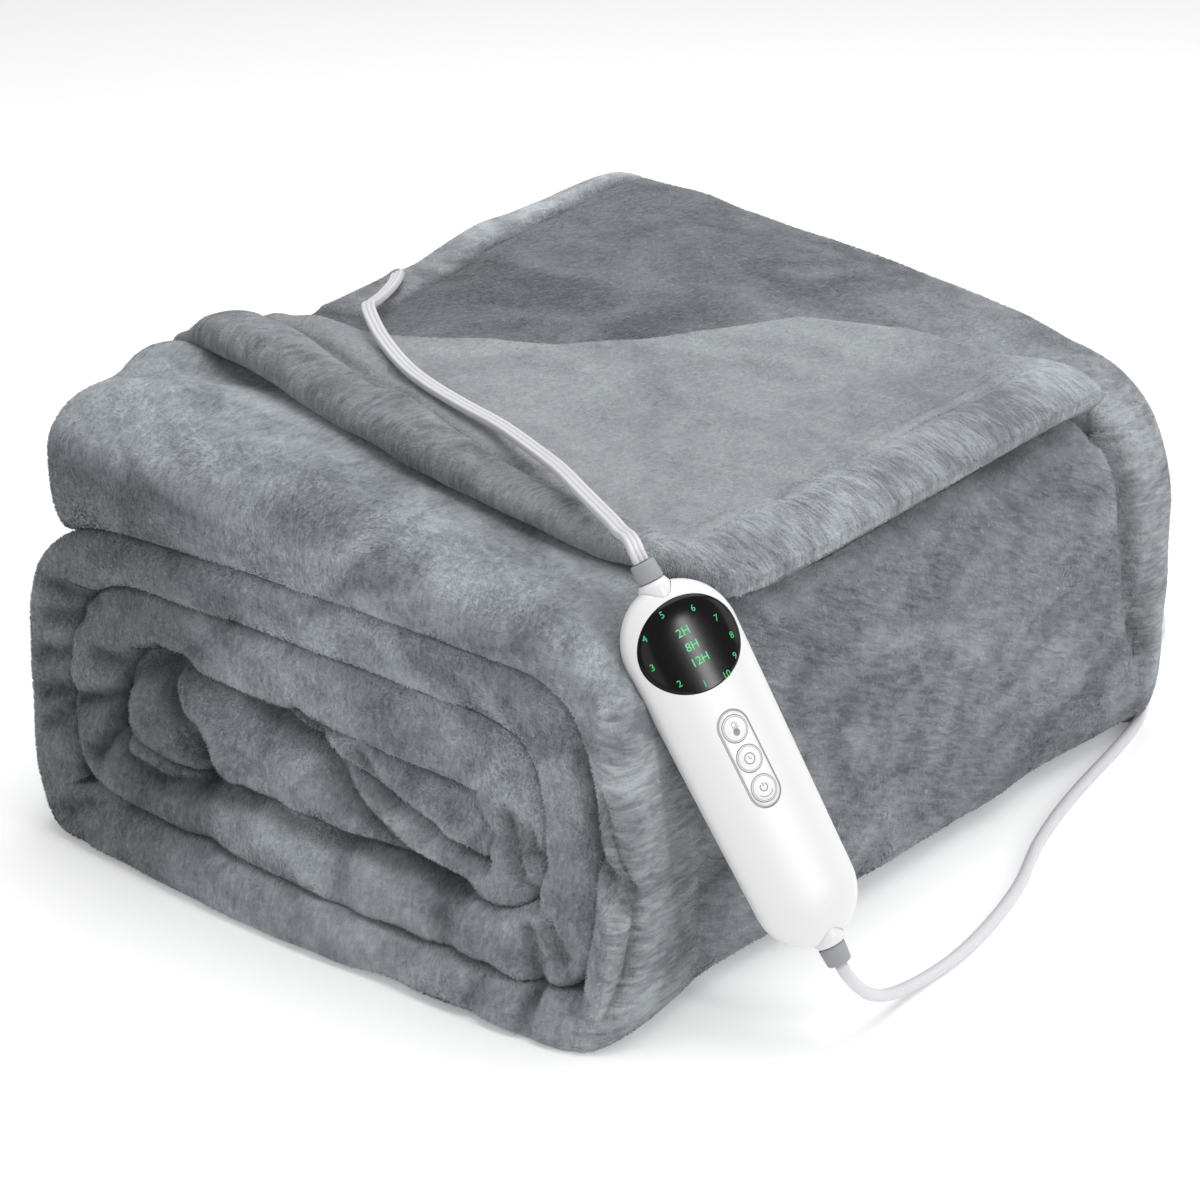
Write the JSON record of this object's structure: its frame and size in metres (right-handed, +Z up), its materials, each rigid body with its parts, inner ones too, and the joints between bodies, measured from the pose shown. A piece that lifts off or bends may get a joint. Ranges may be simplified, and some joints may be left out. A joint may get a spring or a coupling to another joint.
{
  "type": "electric heated blanket",
  "caption": "Plush heated blanket folded and wound into a flattened roll, its top corner turned back, with a corded oval hand control leaning on its side.",
  "frame": {"origin": "on the surface that the roll rests on, under the middle of the roll's near and far ends", "axes": "+Z up, the wound strip's height; +X towards the long side that the hand control leans on; -Y towards the end that shows the turns"},
  "size_m": [0.434, 0.5453, 0.2331],
  "materials": {
    "plush": "short brushed polyester pile, bluish grey, mottled by its lie",
    "white_plastic": "glossy moulded",
    "black_gloss": "polished display lens",
    "grey_rubber": "satin",
    "white_cord": "satin flexible sheath",
    "plated_metal": "bright plated"
  },
  "bodies": {
    "base": {"blanket": "plush", "handset_front": "white_plastic", "handset_back": "white_plastic", "display_lens": "black_gloss", "button_panel": "white_plastic", "neck_top": "white_plastic", "neck_low": "white_plastic", "relief_top": "grey_rubber", "relief_low": "grey_rubber", "flat_cord": "white_cord", "mains_lead": "white_cord", "mains_coil": "white_cord", "mains_tail": "white_cord", "plug_relief": "white_plastic", "plug_body": "white_plastic", "plug_pin_1": "plated_metal", "plug_pin_2": "plated_metal"},
    "key_1": {"button_1": "white_plastic"},
    "key_2": {"button_2": "white_plastic"},
    "key_3": {"button_3": "white_plastic"}
  },
  "joints": [
    {"name": "press_1", "type": "slide", "parent": "base", "child": "key_1", "axis": [-0.8056, 0.411, -0.4268], "range_m": [0, 0.0006], "stiffness_N_per_m": 400, "springref_m": -0.001},
    {"name": "press_2", "type": "slide", "parent": "base", "child": "key_2", "axis": [-0.8056, 0.411, -0.4268], "range_m": [0, 0.0006], "stiffness_N_per_m": 400, "springref_m": -0.001},
    {"name": "press_3", "type": "slide", "parent": "base", "child": "key_3", "axis": [-0.8056, 0.411, -0.4268], "range_m": [0, 0.0006], "stiffness_N_per_m": 400, "springref_m": -0.001}
  ]
}
